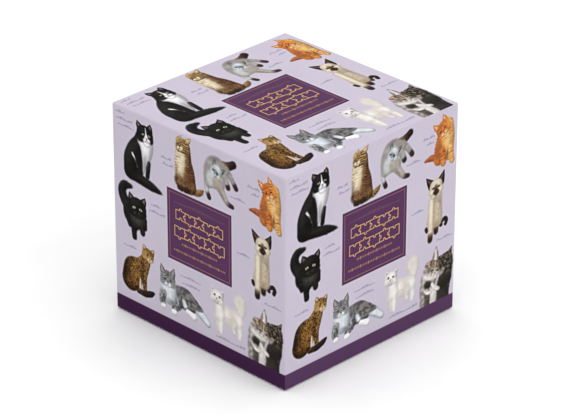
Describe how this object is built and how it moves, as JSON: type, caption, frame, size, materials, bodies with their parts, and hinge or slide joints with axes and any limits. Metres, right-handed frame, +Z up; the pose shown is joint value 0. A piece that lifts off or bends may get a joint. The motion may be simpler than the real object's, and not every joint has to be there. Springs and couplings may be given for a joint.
{
  "type": "boxed jigsaw puzzle",
  "caption": "Rigid card cube box with a full-depth lid that lifts off an inner tray, holding a clear sealed bag of loose and joined jigsaw pieces.",
  "frame": {"origin": "centre of the tray's base, on the table", "axes": "+Z up through the lid, -Y out of the front side, X across the front"},
  "size_m": [0.105, 0.105, 0.1],
  "materials": {
    "printed_paper": "satin laminated print",
    "plain_paper": "satin dark purple paper",
    "greyboard": "matt grey board",
    "stay_paper": "matt white gummed paper",
    "printed_puzzle_board": "satin print on grey board",
    "clear_film": "clear gloss film"
  },
  "bodies": {
    "tray": {"tray_base_sheet": "plain_paper", "tray_board": "greyboard", "tray_corner_stay_1": "stay_paper", "tray_corner_stay_2": "stay_paper", "tray_corner_stay_3": "stay_paper", "tray_corner_stay_4": "stay_paper", "tray_wrap": "plain_paper"},
    "lid": {"lid_board": "greyboard", "lid_corner_stay_1": "stay_paper", "lid_corner_stay_2": "stay_paper", "lid_corner_stay_3": "stay_paper", "lid_corner_stay_4": "stay_paper", "lid_wrap": "printed_paper"},
    "contents": {"jigsaw_piece_r3_c0": "printed_puzzle_board", "jigsaw_piece_r3_c2": "printed_puzzle_board", "jigsaw_piece_r3_c3": "printed_puzzle_board", "jigsaw_piece_r3_c4": "printed_puzzle_board", "jigsaw_piece_r3_c5": "printed_puzzle_board", "jigsaw_piece_r3_c6": "printed_puzzle_board", "jigsaw_piece_r3_c7": "printed_puzzle_board", "jigsaw_piece_r3_c8": "printed_puzzle_board", "jigsaw_piece_r3_c9": "printed_puzzle_board", "jigsaw_piece_r4_c0": "printed_puzzle_board", "jigsaw_piece_r4_c2": "printed_puzzle_board", "jigsaw_piece_r4_c3": "printed_puzzle_board", "jigsaw_piece_r4_c4": "printed_puzzle_board", "jigsaw_piece_r4_c5": "printed_puzzle_board", "jigsaw_piece_r4_c6": "printed_puzzle_board", "jigsaw_piece_r4_c7": "printed_puzzle_board", "jigsaw_piece_r4_c8": "printed_puzzle_board", "jigsaw_piece_r4_c9": "printed_puzzle_board", "jigsaw_piece_r8_c0": "printed_puzzle_board", "jigsaw_piece_r8_c1": "printed_puzzle_board", "jigsaw_piece_r8_c2": "printed_puzzle_board", "jigsaw_piece_r8_c3": "printed_puzzle_board", "jigsaw_piece_r8_c4": "printed_puzzle_board", "jigsaw_piece_r8_c6": "printed_puzzle_board", "jigsaw_piece_r8_c7": "printed_puzzle_board", "jigsaw_piece_r9_c0": "printed_puzzle_board", "jigsaw_piece_r9_c1": "printed_puzzle_board", "jigsaw_piece_r9_c2": "printed_puzzle_board", "jigsaw_piece_r9_c3": "printed_puzzle_board", "jigsaw_piece_r9_c4": "printed_puzzle_board", "jigsaw_piece_r9_c6": "printed_puzzle_board", "jigsaw_piece_r9_c7": "printed_puzzle_board", "joined_pieces_2x1_r3_c1": "printed_puzzle_board", "joined_pieces_2x1_r8_c5": "printed_puzzle_board", "joined_pieces_2x1_r8_c8": "printed_puzzle_board", "joined_pieces_2x1_r8_c9": "printed_puzzle_board", "joined_pieces_3x2_r0_c0": "printed_puzzle_board", "joined_pieces_3x2_r0_c2": "printed_puzzle_board", "joined_pieces_3x2_r0_c4": "printed_puzzle_board", "joined_pieces_3x2_r0_c6": "printed_puzzle_board", "joined_pieces_3x2_r0_c8": "printed_puzzle_board", "joined_pieces_3x2_r5_c0": "printed_puzzle_board", "joined_pieces_3x2_r5_c2": "printed_puzzle_board", "joined_pieces_3x2_r5_c4": "printed_puzzle_board", "joined_pieces_3x2_r5_c6": "printed_puzzle_board", "joined_pieces_3x2_r5_c8": "printed_puzzle_board", "pieces_bag": "clear_film"}
  },
  "joints": [
    {"name": "lid_lift", "type": "slide", "parent": "tray", "child": "lid", "axis": [0, 0, 1], "range_m": [0, 0.15]},
    {"name": "contents_lift", "type": "slide", "parent": "tray", "child": "contents", "axis": [0, 0, 1], "range_m": [0, 0.034]}
  ]
}
